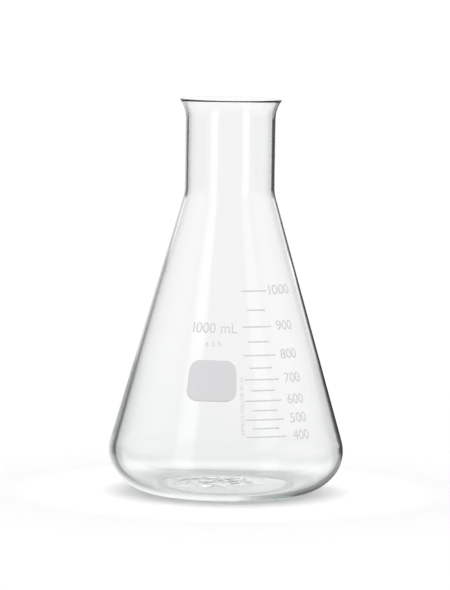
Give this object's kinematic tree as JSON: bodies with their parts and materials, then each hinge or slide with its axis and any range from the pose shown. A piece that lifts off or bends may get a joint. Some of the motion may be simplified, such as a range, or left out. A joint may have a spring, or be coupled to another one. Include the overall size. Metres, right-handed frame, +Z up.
{
  "type": "conical flask",
  "caption": "Wide-neck conical (Erlenmeyer) glass flask with a flared rim, a rounded heel and a white enamel volume scale.",
  "frame": {"origin": "centre of the base, on the plane that the flask rests on", "axes": "+Z up along the axis of the flask; the scale faces -Y, a little towards +X"},
  "size_m": [0.131, 0.131, 0.22],
  "materials": {
    "borosilicate_glass": "polished",
    "white_enamel": "satin"
  },
  "bodies": {
    "root": {"flask_glass": "borosilicate_glass", "marking_patch": "white_enamel", "capacity_mark": "white_enamel", "tolerance_mark": "white_enamel", "scale_caption": "white_enamel", "graduation_1000": "white_enamel", "graduation_950": "white_enamel", "graduation_900": "white_enamel", "graduation_850": "white_enamel", "graduation_800": "white_enamel", "graduation_750": "white_enamel", "graduation_700": "white_enamel", "graduation_650": "white_enamel", "graduation_600": "white_enamel", "graduation_550": "white_enamel", "graduation_500": "white_enamel", "graduation_450": "white_enamel", "graduation_400": "white_enamel", "numeral_1000": "white_enamel", "numeral_900": "white_enamel", "numeral_800": "white_enamel", "numeral_700": "white_enamel", "numeral_600": "white_enamel", "numeral_500": "white_enamel", "numeral_400": "white_enamel"}
  },
  "joints": []
}
